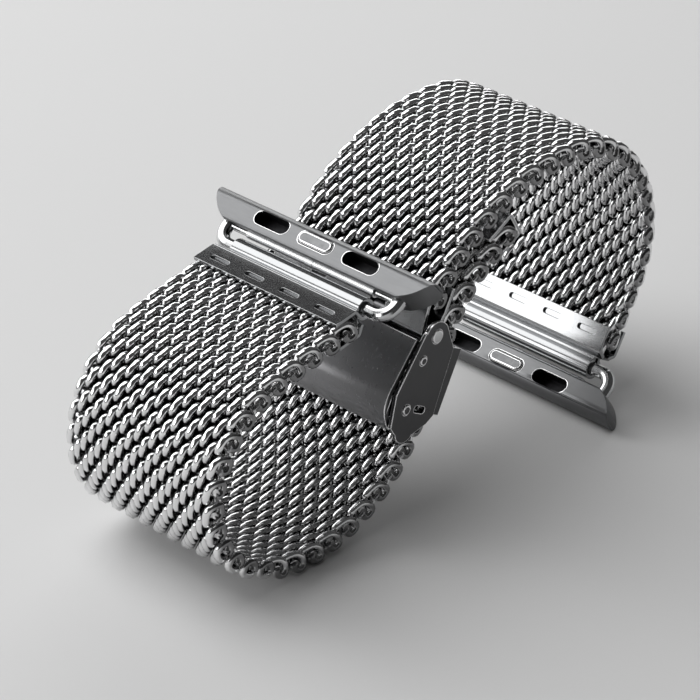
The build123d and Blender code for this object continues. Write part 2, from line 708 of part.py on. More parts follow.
knuckle_spot = knuckle_spot.ahead(-roll_centre(CROSS_BAR))
parts["knuckle_ferrule"] = knuckle_ferrule(knuckle_spot)
parts["tail_cap"] = tail_cap(TAIL_END)
parts["clasp_channel"] = clasp_channel()
parts["clasp_cover"] = clasp_cover()
parts["cover_pin"] = clasp_pin(COVER_PIN_U, COVER_PIN_V, COVER_PIN)
parts["spacer_pin"] = clasp_pin(SPACER_PIN_U, SPACER_PIN_V, SPACER_PIN)
parts["cross_bar"] = clasp_pin(CROSS_BAR_U, CROSS_BAR_V, CROSS_BAR)
parts["grip_bar"] = grip_bar()

# The origin goes under the middle of the whole part, on the table
box = Compound([Compound(part.solids()) for part in parts.values()]).bounding_box()
SHIFT_Y = -(box.min.Y + box.max.Y) / 2
SHIFT_Z = -box.min.Z
for name, part in parts.items():
    export_step(Compound(part.solids()).moved(Pos(0, SHIFT_Y, SHIFT_Z)), f"parts/{name}.step")
print(f"shift y {SHIFT_Y:.4f} z {SHIFT_Z:.4f}, size {box.size}")
for label, spot in (
    ("end a", END_A),
    ("wire a", WIRE_A),
    ("end b", END_B),
    ("wire b", WIRE_B),
    ("clasp", CLASP),
):
    place = (spot.y + SHIFT_Y, spot.z + SHIFT_Z, spot.heading)
    print(label, [round(value, 3) for value in place])
print("lug b rests at", round(parts["lug_bar_b"].bounding_box().min.Z + SHIFT_Z, 3))
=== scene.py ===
import json
import math

import bpy
from bpy.props import FloatProperty, FloatVectorProperty, IntProperty, PointerProperty
from mathutils import Matrix, Vector


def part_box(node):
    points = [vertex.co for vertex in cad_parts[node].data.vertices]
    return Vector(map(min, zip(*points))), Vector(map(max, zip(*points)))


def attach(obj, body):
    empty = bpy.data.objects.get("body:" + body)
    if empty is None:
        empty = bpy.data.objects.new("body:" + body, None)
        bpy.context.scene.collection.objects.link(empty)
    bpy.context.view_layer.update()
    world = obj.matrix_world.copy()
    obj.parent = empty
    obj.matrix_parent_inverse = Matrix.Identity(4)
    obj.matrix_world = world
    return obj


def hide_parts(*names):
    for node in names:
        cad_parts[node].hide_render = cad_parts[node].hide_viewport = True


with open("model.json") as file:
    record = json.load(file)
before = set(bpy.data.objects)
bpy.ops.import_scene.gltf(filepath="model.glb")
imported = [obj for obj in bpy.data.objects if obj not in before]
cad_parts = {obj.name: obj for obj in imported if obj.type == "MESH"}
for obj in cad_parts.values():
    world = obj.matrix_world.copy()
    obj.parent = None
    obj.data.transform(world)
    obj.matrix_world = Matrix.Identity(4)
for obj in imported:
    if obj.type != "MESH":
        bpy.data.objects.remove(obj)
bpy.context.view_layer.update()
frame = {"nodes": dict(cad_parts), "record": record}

bl_info = {
    "name": "Milanese Mesh Band",
    "version": (1, 0, 0),
    "blender": (4, 5, 0),
    "location": "3D View > Sidebar > Mesh Band",
    "description": "Weaves the wire mesh of a watch band, and finishes its sheet, wire and clasp",
    "category": "Add Mesh",
}

MM = 0.001
BODY_OF = {
    node: body
    for body, nodes in frame["record"]["behaviour"]["bodies"].items()
    for node in nodes
}

# The side view of the band, in mm and degrees: the straights and tangent arcs of the solids.
# A leg is the radius and the turn of an arc, or the length of a straight and 0.
ROW_PITCH = 2.05
ROW_RADIUS = 0.97
ROWS_PER_PIECE = 4
ROWS_IN_CLASP = 6
ROWS_IN_TAIL = 5
LUG_PIECES, SHORT_PIECES = 4, 6
LEAN = -1.42
TO_LUG = ((13.2, -25.0), (8.3, -65.0), (9.2, -72.0), (40.0, -7.0))
TO_TAIL = ((14.4, 62.0), (8.0, 0.0), (14.0, -32.0))
CLASP_RISE = TO_TAIL[0][0] * math.radians(TO_TAIL[0][1])
CLASP_HEADING = TO_TAIL[0][1] + LEAN
CROSS_BAR_PLACE = (8.0, 2.8)
SHORT = ((2.9, 0.0), (6.0, -13.0), (19.5, -49.0), (0.8, 0.0), (11.0, -90.0), (11.0, -32.0))
SHORT_FIRST_ROW = 1.89

# How a spiral closes at the band's edge: the turns over which it slows down, how dark the
# painted shade on the hook's outer side gets, and where that begins and how steeply it grows,
# in widths of wire. CLEAR_SOON says how fast a strand comes out of the painted shade in the
# gaps as it rises.
HOOK_EASE = 0.45
HOOK_SHADE = 0.75
HOOK_SHADE_FROM, HOOK_SHADE_GROWS = 0.45, 5
CLEAR_SOON = 1.15

# The end ferrules, in mm and degrees: where the mesh ends at each lug (Y, Z and heading),
# then the folded sheet's line from its flaps through its neck to its roll, and its stakes
END_A = (-10.033, 20.622, 9.58)
END_B = (21.519, 4.644, 236.58)
FERRULE_COVER = 2.2
FERRULE_WIDTH, ROLL_WIDTH, NARROW_FROM = 17.0, 15.3, 0.8
FLAP_MIDDLE, SHEET = 1.175, 0.35
NECK = ((0.0, 1.175), (0.2, 1.1), (0.46, 0.6), (0.62, 0.4), (0.82, 0.32))
ROLL_CENTRE, ROLL_RADIUS = 1.889, 0.815
ROLL_START, ROLL_STEP = 156, 12
STAKE_COUNT, STAKE_PITCH, STAKE_FROM_EDGE = 4, 4.15, 0.95
STAKE_LENGTH, STAKE_WIDTH = 2.1, 0.5
STAKE_DEPTH, STAKE_SINK = 0.14, 0.196
FERRULE_RIM = 0.8

# The stirrups turn from the mesh's ends, and the lug bars' pockets lie along their outer faces
STIRRUP_TURNS = {"a": 25.0, "b": -22.0}
POCKET_EDGE, POCKET_DEPTH = 0.09 * MM, 1.6 * MM
POCKET_PLACE, POCKET_HALF = 1.4 * MM, 0.72 * MM
POCKETS_END = 7.3 * MM

# The cover is a little wider than its solid, so that it all but meets the cheeks
COVER_STRETCH = 1.035

# Hand tools: how finely a wire, a capsule's ends and a rim are rounded, and how near two
# points lie, or how little two faces turn, where they are taken as one
WIRE_ROUND, CAPSULE_ROUND, RIM_ROUND = 2, 24, 2
SAME_POINT = 1e-6
SAME_FACE = math.radians(0.5)

# The finishes of one piece: that of its faces, of its rims, polished edges whose brighter
# colour is partly a painted highlight, and of its pockets' walls, whose dark colour is painted
# shade
FACES, RIMS, POCKETS = range(3)

# What all steel shares: the detail of its grain, the scale and detail of its tone, the range
# that a noise mostly keeps to, and how strongly the grain shows. Then the usual patchiness
# of its tone, the colours of the painted shade deep in the mesh's gaps and in the lug bars'
# pockets, and the cover's share where it lies in shade.
GRAIN_DETAIL = 4.0
TONE_SCALE, TONE_DETAIL = 420.0, 3.0
NOISE_LOW, NOISE_HIGH = 0.3, 0.7
GRAIN_STRENGTH = 0.6
PATCHY = 0.08
# Painted shade: deep in the mesh's gaps, and in the lug bars' pockets
PAINTED_GAP_SHADE = (0.03, 0.03, 0.031)
PAINTED_POCKET_SHADE = (0.03, 0.03, 0.032)
SHADED = 0.45

# The stage, in metres: each light's place from the band, the way of its long side, and its
# two sides, and then the camera's place, its right hand, what lies behind it, and its lens
FLOOR_SIZE, FLOOR_ROUGHNESS = 4, 0.9
ROOM_COLOUR, ROOM_STRENGTH = (0.5, 0.5, 0.5), 0.12
LIGHT_DISTANCE = 0.66
LIGHTS_AIM = Vector((0, 0, 0.01))
LIGHTS = {
    "key": ((-0.52, -0.16, 0.79), (0.79, -0.19, 0.59), (1.0, 0.54)),
    "low": ((-0.66, -0.7, 0.31), (0.72, -0.69, 0.0), (1.1, 0.26)),
    "back": ((-0.61, 0.7, 0.37), (0.76, 0.65, 0.0), (0.55, 0.28)),
}
CAMERA_PLACE = (0.1824, -0.18184, 0.15938)
CAMERA_RIGHT = (0.708, 0.7058, -0.0175)
CAMERA_BACK = (0.6176, -0.6071, 0.5)
CAMERA_LENS, CAMERA_SENSOR, CAMERA_NEAR = 177.2, 36, 0.01


class WeaveSettings(bpy.types.PropertyGroup):
    """Sizes of the woven wire."""

    wire: FloatProperty(
        name="Wire", description="Diameter of the wire", default=0.66 * MM, unit="LENGTH"
    )
    reach: FloatProperty(
        name="Reach",
        description="From a row's middle to the middle of the wire where it turns back",
        default=0.87 * MM,
        unit="LENGTH",
    )
    rise: FloatProperty(
        name="Rise",
        description="From a row's middle up to the middle of the wire",
        default=0.66 * MM,
        unit="LENGTH",
    )
    pitch: FloatProperty(
        name="Pitch",
        description="From one turn of a row to the next, across the band",
        default=1.73 * MM,
        unit="LENGTH",
    )
    width: FloatProperty(
        name="Width", description="Width of the mesh", default=18.0 * MM, unit="LENGTH"
    )
    swing: FloatProperty(
        name="Swing",
        description="How far the wire hurries round the ends of its turns",
        default=0.06 * MM,
        unit="LENGTH",
    )
    square: FloatProperty(
        name="Square",
        description="How round a turn is: 1 is an ellipse, less is squarer",
        default=0.8,
    )
    hook: FloatProperty(
        name="Hook",
        description="Turns of the wire that close the hook at the edge",
        default=0.29,
    )
    rolled: FloatProperty(
        name="Rolled",
        description="Half the thickness of the mesh once it has been rolled flat",
        default=0.93 * MM,
        unit="LENGTH",
    )
    steps: IntProperty(name="Steps", description="Lengths of wire in one turn", default=16)


class FinishSettings(bpy.types.PropertyGroup):
    """Colours of the steel, and how its edges are rounded."""

    wire_colour: FloatVectorProperty(
        name="Wire",
        description="Colour of the woven wire",
        subtype="COLOR",
        default=(0.86, 0.86, 0.865),
    )
    polished_colour: FloatVectorProperty(
        name="Polished steel",
        description="Colour of stirrups and pins",
        subtype="COLOR",
        default=(0.58, 0.585, 0.59),
    )
    satin_colour: FloatVectorProperty(
        name="Satin steel",
        description="Colour of the lug bars",
        subtype="COLOR",
        default=(0.15, 0.152, 0.155),
    )
    sheet_colour: FloatVectorProperty(
        name="Sheet",
        description="Colour of the folded sheet",
        subtype="COLOR",
        default=(0.34, 0.345, 0.35),
    )
    cover_colour: FloatVectorProperty(
        name="Brushed cover",
        description="Colour of the clasp's cover",
        subtype="COLOR",
        default=(0.2, 0.2, 0.205),
    )
    rim: FloatProperty(
        name="Rim",
        description="Width of the bevel on the edges of sheet",
        default=0.07 * MM,
        unit="LENGTH",
    )


class StageSettings(bpy.types.PropertyGroup):
    """The floor and the lights."""

    floor_colour: FloatVectorProperty(
        name="Floor",
        description="Colour of the floor",
        subtype="COLOR",
        default=(0.68, 0.68, 0.68),
    )
    key: FloatProperty(
        name="Key", description="Power of the main soft light", default=4.6, unit="POWER"
    )
    low: FloatProperty(
        name="Low", description="Power of the low soft light in front", default=3.2, unit="POWER"
    )
    back: FloatProperty(
        name="Back", description="Power of the low soft light behind", default=1.3, unit="POWER"
    )


# Where the rows lie


class Spot:
    """A place on the side view: a point, and the way the band runs there."""

    def __init__(self, y, z, heading):
        self.y, self.z, self.heading = y, z, heading

    def ahead(self, along, left=0.0):
        turn = math.radians(self.heading)
        return Spot(
            self.y + along * math.cos(turn) - left * math.sin(turn),
            self.z + along * math.sin(turn) + left * math.cos(turn),
            self.heading,
        )

    def turned(self, degrees):
        return Spot(self.y, self.z, self.heading + degrees)


def walk(spot, legs, walked):
    """The spot so far along some legs, and straight on past the last of them."""
    for size, turn in legs:
        length = size * math.radians(abs(turn)) if turn else size
        step = min(walked, length)
        part = math.radians(turn) * step / length
        chord = step * math.sin(part / 2) / (part / 2) if part else step
        half = math.degrees(part) / 2
        spot = spot.turned(half).ahead(chord).turned(half)
        walked -= step
        if walked <= 0:
            return spot
    return spot.ahead(walked)


def row_spots():
    """The middles of all spirals, in metres and in the frame's place, by their node's name."""
    bottom = Spot(0, ROW_RADIUS, 180 + LEAN)
    rise = bottom.turned(180)
    clasp = walk(rise, TO_TAIL, CLASP_RISE)
    bar = clasp.ahead(*CROSS_BAR_PLACE)

    def run(start, legs, first, count, before=0.0):
        """Two spirals to each row, as each rod of the solids stands for two."""
        half_rows = [first + (n + 0.5) / 2 for n in range(2 * count)]
        return [walk(start, legs, before + place * ROW_PITCH) for place in half_rows]

    half = ROWS_PER_PIECE // 2
    back = [spot.turned(180) for spot in run(bottom, TO_LUG, 0, half)[::-1]]
    rows = {"long_mesh_loop": back + run(rise, TO_TAIL, 0, half)}
    for n in range(LUG_PIECES):
        first = half + n * ROWS_PER_PIECE
        rows[f"long_mesh_lug_{n + 1}"] = run(bottom, TO_LUG, first, ROWS_PER_PIECE)
    first = half
    for name, size in (("rise", ROWS_PER_PIECE), ("clasp", ROWS_IN_CLASP), ("tail", ROWS_IN_TAIL)):
        rows[f"long_mesh_{name}"] = run(rise, TO_TAIL, first, size)
        first += size
    for n in range(SHORT_PIECES):
        first = n * ROWS_PER_PIECE
        rows[f"short_mesh_{n + 1}"] = run(bar, SHORT, first, ROWS_PER_PIECE, SHORT_FIRST_ROW)
    low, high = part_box("cross_bar")
    shift_y = (low.y + high.y) / 2 - bar.y * MM
    shift_z = (low.z + high.z) / 2 - bar.z * MM
    for spots in rows.values():
        for spot in spots:
            spot.y = spot.y * MM + shift_y
            spot.z = spot.z * MM + shift_z
    return rows


def directions(heading):
    """Along the band where it has a heading, and at right angles to its left."""
    turn = math.radians(heading)
    along = Vector((0, math.cos(turn), math.sin(turn)))
    left = Vector((0, -math.sin(turn), math.cos(turn)))
    return along, left


# Hand tools


def only(piece):
    """Selects one object and makes it the active one."""
    bpy.ops.object.select_all(action="DESELECT")
    piece.select_set(True)
    bpy.context.view_layer.objects.active = piece


def settle(piece, node, material):
    """The piece stands for a node: it rides on its body, and its faces and rims are finished."""
    numbers = [polygon.material_index for polygon in piece.data.polygons]
    piece.data.materials.clear()
    piece.data.materials.append(material)
    if any(numbers):
        # Rims are polished, and their brighter colour is partly a painted highlight
        piece.data.materials.append(finish_named("polished_rim"))
        piece.data.polygons.foreach_set("material_index", numbers)
    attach(piece, BODY_OF[node])
    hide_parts(node)


def paint(node, finish):
    """Gives a node that stays as it is a better finish."""
    for slot in frame["nodes"][node].material_slots:
        slot.material = finish_named(finish)


def soften(piece, rim, angle=32, smooth=28):
    """Rounds edges sharper than angle, and shades faces as one up to smooth, in degrees."""
    only(piece)
    while len(piece.data.materials) <= RIMS:
        piece.data.materials.append(None)
    bevel = piece.modifiers.new("rim", "BEVEL")
    bevel.width = rim
    bevel.segments = RIM_ROUND
    bevel.limit_method = "ANGLE"
    bevel.angle_limit = math.radians(angle)
    bevel.material = RIMS
    bevel.use_clamp_overlap = False
    bpy.ops.object.modifier_apply(modifier="rim")
    bpy.ops.object.shade_smooth_by_angle(angle=math.radians(smooth))
    weighed = piece.modifiers.new("weighed", "WEIGHTED_NORMAL")
    weighed.keep_sharp = True
    bpy.ops.object.modifier_apply(modifier="weighed")


def softened(node, name, rim, angle=32, smooth=28):
    """A copy of a node with narrow rounds on its sharp edges, as tumbled steel has."""
    piece = bpy.data.objects.new(name, frame["nodes"][node].data.copy())
    bpy.context.scene.collection.objects.link(piece)
    only(piece)
    bpy.ops.mesh.customdata_custom_splitnormals_clear()
    bpy.ops.object.mode_set(mode="EDIT")
    bpy.ops.mesh.select_all(action="SELECT")
    bpy.ops.mesh.remove_doubles(threshold=SAME_POINT)
    bpy.ops.mesh.dissolve_limited(angle_limit=SAME_FACE)
    bpy.ops.object.mode_set(mode="OBJECT")
    soften(piece, rim, angle, smooth)
    return piece


def path(name, points):
    """A curve of straight pieces through some points."""
    bpy.ops.object.select_all(action="DESELECT")
    bpy.ops.curve.primitive_nurbs_path_add()
    piece = bpy.context.object
    piece.name = name
    piece.data.splines.clear()
    spline = piece.data.splines.new("POLY")
    spline.points.add(len(points) - 1)
    for point, place in zip(spline.points, points):
        point.co = (*place, 1)
    return piece


def wire_along(name, points, radius):
    """A round wire along some points, closed at its ends."""
    curve = path(name, points).data
    curve.dimensions = "3D"
    curve.bevel_depth = radius
    curve.bevel_resolution = WIRE_ROUND
    curve.use_fill_caps = True
    bpy.ops.object.convert(target="MESH")
    bpy.ops.object.shade_smooth()
    return bpy.context.object


def capsule(name, middle, turn, size):
    """A flat-ended capsule: its length along X, its width along the band and its depth.

    It is a cylinder pulled apart, and the points on the line where it parts go to the right.
    """
    length, width, depth = size
    bpy.ops.object.select_all(action="DESELECT")
    bpy.ops.mesh.primitive_cylinder_add(vertices=CAPSULE_ROUND, radius=width / 2, depth=depth)
    piece = bpy.context.object
    piece.name = name
    for vertex in piece.data.vertices:
        vertex.co.x += math.copysign((length - width) / 2, vertex.co.x + width / 1000)
    piece.data.transform(Matrix.Translation(middle) @ turn)
    return piece


def joined(pieces):
    """Makes one object of several."""
    only(pieces[0])
    for piece in pieces:
        piece.select_set(True)
    bpy.ops.object.join()
    return bpy.context.object


# Finishes


def noise(tree, place, scale, detail):
    """A noise on some coordinates, as a socket that gives its value."""
    texture = tree.nodes.new("ShaderNodeTexNoise")
    texture.inputs["Scale"].default_value = scale
    texture.inputs["Detail"].default_value = detail
    tree.links.new(place, texture.inputs["Vector"])
    return texture.outputs["Fac"]


def mixed(tree, share, low, high):
    """Two colours mixed, as a socket. The second may be a socket too."""
    mix = tree.nodes.new("ShaderNodeMixRGB")
    tree.links.new(share, mix.inputs["Fac"])
    mix.inputs["Color1"].default_value = (*low, 1)
    if isinstance(high, bpy.types.NodeSocket):
        tree.links.new(high, mix.inputs["Color2"])
    else:
        mix.inputs["Color2"].default_value = (*high, 1)
    return mix.outputs["Color"]


def steel(name, colour, rough, grain, depth, patchy, stretch=(1, 1, 1), rise=0, gaps=None):
    """Bare steel, whose roughness and tone wander over a fine grain.

    rough is its least and most roughness, grain how fine the grain is, depth how deep in mm,
    and patchy how far the tone wanders. stretch draws the grain out, and rise turns it about
    the band's width, in degrees. gaps is the colour of the painted shade deep in a woven
    piece, which its clear attribute mixes in.
    """
    material = bpy.data.materials.new(name)
    material.use_nodes = True
    tree = material.node_tree
    shader = tree.nodes["Principled BSDF"]
    shader.inputs["Metallic"].default_value = 1.0
    place = tree.nodes.new("ShaderNodeTexCoord").outputs["Object"]
    lie = tree.nodes.new("ShaderNodeMapping")
    lie.vector_type = "TEXTURE"
    lie.inputs["Scale"].default_value = [1 / length for length in stretch]
    lie.inputs["Rotation"].default_value = (math.radians(rise), 0, 0)
    tree.links.new(place, lie.inputs["Vector"])
    fine = noise(tree, lie.outputs["Vector"], grain, GRAIN_DETAIL)
    broad = noise(tree, place, TONE_SCALE, TONE_DETAIL)
    dull = [share * (1 - patchy) for share in colour]
    bright = [min(1, share * (1 + patchy)) for share in colour]
    tone = mixed(tree, broad, dull, bright)
    # Painted shade deep in the woven wire and on its hooks' outer sides, by its clear attribute
    if gaps:
        clear = tree.nodes.new("ShaderNodeAttribute")
        clear.attribute_name = "clear"
        tone = mixed(tree, clear.outputs["Fac"], gaps, tone)
    tree.links.new(tone, shader.inputs["Base Color"])
    spread = tree.nodes.new("ShaderNodeMapRange")
    spread.inputs["From Min"].default_value = NOISE_LOW
    spread.inputs["From Max"].default_value = NOISE_HIGH
    spread.inputs["To Min"].default_value, spread.inputs["To Max"].default_value = rough
    tree.links.new(fine, spread.inputs["Value"])
    tree.links.new(spread.outputs["Result"], shader.inputs["Roughness"])
    bump = tree.nodes.new("ShaderNodeBump")
    bump.inputs["Strength"].default_value = GRAIN_STRENGTH
    bump.inputs["Distance"].default_value = depth * MM
    tree.links.new(fine, bump.inputs["Height"])
    tree.links.new(bump.outputs["Normal"], shader.inputs["Normal"])
    return material


def finish_named(name):
    """One of the band's finishes, made the first time that it is asked for."""
    if name in bpy.data.materials:
        return bpy.data.materials[name]
    colours = bpy.context.scene.band_finish
    wire, polished = colours.wire_colour, colours.polished_colour
    satin, sheet, cover = colours.satin_colour, colours.sheet_colour, colours.cover_colour
    shade = [share * SHADED for share in cover]
    # The woven wire takes painted shade in its gaps
    woven = {"gaps": PAINTED_GAP_SHADE}
    along_bar = {"stretch": (0.1, 1, 1)}
    coarse = {"stretch": (1, 0.1, 1), "rise": CLASP_HEADING}
    brushed = {"stretch": (1, 0.04, 1), "rise": CLASP_HEADING}
    # Colour, least and most roughness, grain, its depth, patchiness, and what steel() adds
    finishes = {
        "woven_wire": (wire, (0.08, 0.17), 2600, 0.003, PATCHY, woven),
        "polished_wire": (polished, (0.1, 0.18), 3200, 0.003, 0.03, {}),
        "spring_wire": (polished, (0.2, 0.24), 3000, 0.001, 0.03, {}),
        "satin_steel": (satin, (0.3, 0.42), 7000, 0.0015, 0.05, along_bar),
        "rolled_sheet": (sheet, (0.15, 0.19), 4000, 0.0004, 0.04, {}),
        # Rims: polished, and brighter than their faces as a painted highlight
        "polished_rim": (wire, (0.2, 0.3), 4000, 0.001, 0.04, {}),
        "speckled_button": (satin, (0.25, 0.5), 5200, 0.02, 0.4, {}),
        # Painted shade in the lug bars' pockets
        "dark_pocket": (PAINTED_POCKET_SHADE, (0.4, 0.6), 3000, 0.004, PATCHY, {}),
        "shaded_steel": (shade, (0.3, 0.4), 7000, 0.0002, 0.04, coarse),
        "brushed_steel": (cover, (0.26, 0.38), 9000, 0.0002, 0.06, brushed),
    }
    *plain, more = finishes[name]
    return steel(name, *plain, **more)


# The woven rows


def clamped(value):
    """The value, or 0 or 1 where it lies outside them."""
    return min(1.0, max(0.0, value))


def smoothed(share):
    """From 0 to 1 with a gentle start and end."""
    return share * share * (3 - 2 * share)


def squarer(wave, power):
    """A sine or cosine that stays longer near its ends."""
    return math.copysign(abs(wave) ** power, wave)


def row_path(settings, front):
    """Half of a woven pair: a round-ended spiral, hooked round at one edge of the band.

    Its turns are fastest at their ends and slowest on their faces, so that neighbours clear.
    """
    reach, rise, pitch = settings.reach, settings.rise, settings.pitch
    edge = settings.width / 2 - settings.wire / 2
    straight = edge / pitch - HOOK_EASE / 2
    first = -round(edge / pitch) * settings.steps
    last = int((straight + HOOK_EASE + settings.hook) * settings.steps)
    points = []
    for n in range(first, last + 1):
        turn = n / settings.steps
        angle = 2 * math.pi * turn
        past = clamped((turn - straight) / HOOK_EASE)
        x = pitch * (min(turn, straight) + HOOK_EASE * (past - past * past / 2))
        x += settings.swing * math.sin(2 * angle) * (1 - past)
        hooked = smoothed(past)
        side = front if math.cos(angle) > 0 else reach
        side += (rise - side) * hooked
        middle = ROW_PITCH * MM / 4 * hooked
        along = squarer(math.cos(angle), settings.square)
        up = squarer(math.sin(angle), settings.square)
        points.append((x, middle + side * along, -rise * up))
    return points


def paint_gap_shade(model, settings):
    """Rolls the spiral flat, and writes how far each point stands out of the mesh's gaps.

    This is the mask of the painted shade, deep in the gaps and on the outer sides of the hooks.
    """
    wire = settings.wire
    hooks = settings.width / 2 - wire - settings.pitch / 4
    clear = model.data.attributes.new("clear", "FLOAT", "POINT")
    for vertex, value in zip(model.data.vertices, clear.data):
        place = vertex.co
        place.z = max(-settings.rolled, min(settings.rolled, place.z))
        hooked = clamped((abs(place.x) - hooks) * 4 / settings.pitch)
        # Painted shade: the deeper a point lies towards the mesh's middle, the darker
        out = (abs(place.z) - settings.rise + wire / 2) / wire
        share = smoothed(clamped(out * CLEAR_SOON))
        # Painted shade on the outer side of each hook, darker towards the band's edge
        side = (abs(place.x) - settings.width / 2 + wire * HOOK_SHADE_FROM) / wire
        lit = 1 - min(HOOK_SHADE, max(0, side * HOOK_SHADE_GROWS))
        value.value = share + (lit - share) * hooked


def row_models():
    """The spiral as it is in the mesh, and the shorter one under the tail cap."""
    settings = bpy.context.scene.band_weave
    models = {}
    for kind, front in (("inner", settings.reach), ("last", settings.reach / 2)):
        model = wire_along(f"spiral_{kind}", row_path(settings, front), settings.wire / 2)
        paint_gap_shade(model, settings)
        models[kind] = model
    return models


class BAND_OT_weave(bpy.types.Operator):
    """Weaves each length of the mesh, row by row, along the line that the solids follow"""

    bl_idname = "band.weave"
    bl_label = "Weave the Mesh"

    def execute(self, context):
        models = row_models()
        for node, spots in row_spots().items():
            rows = []
            for number, spot in enumerate(spots):
                capped = node == "long_mesh_tail" and number == len(spots) - 1
                model = models["last" if capped else "inner"]
                row = bpy.data.objects.new("row", model.data.copy())
                context.scene.collection.objects.link(row)
                turn = Matrix.Rotation(math.radians(spot.heading), 4, "X")
                if number % 2:
                    turn = turn @ Matrix.Rotation(math.pi, 4, "Z")
                row.data.transform(Matrix.Translation((0, spot.y, spot.z)) @ turn)
                rows.append(row)
            piece = joined(rows)
            piece.name = "weave_" + node.replace("_mesh", "")
            settle(piece, node, finish_named("woven_wire"))
        for model in models.values():
            bpy.data.objects.remove(model)
        return {"FINISHED"}


# The lug adapters


def paint_pocket_shade(lug, heading):
    """Bright rims round the pockets, and painted shade on the pockets' walls and floors."""
    # Painted shade: the pockets' walls and floors take a near black finish
    lug.data.materials.append(finish_named("dark_pocket"))
    along, out = directions(heading)
    out = -out if out.z < 0 else out
    heel = min(vertex.co.dot(along) for vertex in lug.data.vertices)
    face = max(vertex.co.dot(out) for vertex in lug.data.vertices)
    for polygon in lug.data.polygons:
        deep = face - polygon.center.dot(out)
        place = abs(polygon.center.dot(along) - heel - POCKET_PLACE)
        at_pocket = place < POCKET_HALF and abs(polygon.center.x) < POCKETS_END
        if not at_pocket or deep > POCKET_DEPTH:
            polygon.material_index = FACES
        elif deep > POCKET_EDGE:
            polygon.material_index = POCKETS


class BAND_OT_adapters(bpy.types.Operator):
    """Finishes the lug bars, the stirrups and the buttons that lock them"""

    bl_idname = "band.adapters"
    bl_label = "Finish the Adapters"

    def execute(self, context):
        rim = context.scene.band_finish.rim
        rows = row_spots()
        for letter, last_mesh in (("a", "long_mesh_lug_4"), ("b", "short_mesh_6")):
            node = f"lug_bar_{letter}"
            lug = softened(node, node + "_satin", rim)
            settle(lug, node, finish_named("satin_steel"))
            paint_pocket_shade(lug, rows[last_mesh][-1].heading + STIRRUP_TURNS[letter])
            node = f"lock_button_{letter}"
            button = softened(node, node + "_crowned", rim, angle=40)
            settle(button, node, finish_named("speckled_button"))
            paint(f"stirrup_{letter}", "polished_wire")
            for part in ("lock_spring", "spring_bar_tube", "spring_bar_coil"):
                paint(f"{part}_{letter}", "spring_wire")
            for end in ("near", "far"):
                paint(f"spring_bar_tip_{letter}_{end}", "polished_wire")
        return {"FINISHED"}


# The folded sheet


def ferrule_line():
    """The folded sheet's line, from one flap's edge round the roll to the other's, in metres."""
    half = [(-FERRULE_COVER, FLAP_MIDDLE), *NECK]
    for degrees in range(ROLL_START, -1, -ROLL_STEP):
        turn = math.radians(degrees)
        half.append((ROLL_CENTRE + ROLL_RADIUS * math.cos(turn), ROLL_RADIUS * math.sin(turn)))
    other = [(along, -left) for along, left in reversed(half[:-1])]
    return [(along * MM, left * MM, 0) for along, left in half + other]


def stakes(name, spot, side, thick, sink):
    """Capsules in a line across one flap, as cutters for its slots or as their floors."""
    seat = spot.ahead(STAKE_FROM_EDGE - FERRULE_COVER, side * (FLAP_MIDDLE - sink))
    size = [length * MM for length in (STAKE_LENGTH, STAKE_WIDTH, thick)]
    flat = Matrix.Rotation(math.radians(spot.heading), 4, "X")
    made = []
    for number in range(STAKE_COUNT):
        x = (number - (STAKE_COUNT - 1) / 2) * STAKE_PITCH
        made.append(capsule(name, Vector((x, seat.y, seat.z)) * MM, flat, size))
    return joined(made)


def folded_ferrule(letter, end, side):
    """A sheet folded round the stirrup's wire, pinched at its neck, with pressed stakes."""
    piece = path(f"end_ferrule_{letter}_folded", ferrule_line())
    piece.data.dimensions = "2D"
    piece.data.fill_mode = "NONE"
    piece.data.extrude = FERRULE_WIDTH / 2 * MM
    bpy.ops.object.convert(target="MESH")
    piece = bpy.context.object
    for vertex in piece.data.vertices:
        if vertex.co.x > NARROW_FROM * MM:
            vertex.co.z *= ROLL_WIDTH / FERRULE_WIDTH
    wall = piece.modifiers.new("wall", "SOLIDIFY")
    wall.thickness = SHEET * MM
    wall.offset = 0
    bpy.ops.object.modifier_apply(modifier="wall")
    spot = Spot(*end)
    along, left = directions(spot.heading)
    turn = Matrix((along, left, Vector((1, 0, 0)))).transposed().to_4x4()
    piece.data.transform(Matrix.Translation((0, spot.y * MM, spot.z * MM)) @ turn)
    slots = stakes("slots", spot, side, 2 * SHEET, 0)
    floors = stakes("floors", spot, side, 2 * STAKE_DEPTH, STAKE_SINK)
    only(piece)
    cut = piece.modifiers.new("slots", "BOOLEAN")
    cut.operation = "DIFFERENCE"
    cut.object = slots
    bpy.ops.object.modifier_apply(modifier="slots")
    bpy.data.objects.remove(slots)
    soften(piece, bpy.context.scene.band_finish.rim * FERRULE_RIM, smooth=34)
    return joined([piece, floors])


class BAND_OT_sheet_ends(bpy.types.Operator):
    """Finishes the folded sheet on the ends of the mesh"""

    bl_idname = "band.sheet_ends"
    bl_label = "Finish the Sheet Ends"

    def execute(self, context):
        rim = context.scene.band_finish.rim
        for node in ("knuckle_ferrule", "tail_cap"):
            piece = softened(node, node + "_folded", rim)
            settle(piece, node, finish_named("rolled_sheet"))
        for letter, end, side in (("a", END_A, 1), ("b", END_B, -1)):
            piece = folded_ferrule(letter, end, side)
            settle(piece, f"end_ferrule_{letter}", finish_named("rolled_sheet"))
        return {"FINISHED"}


# The clasp


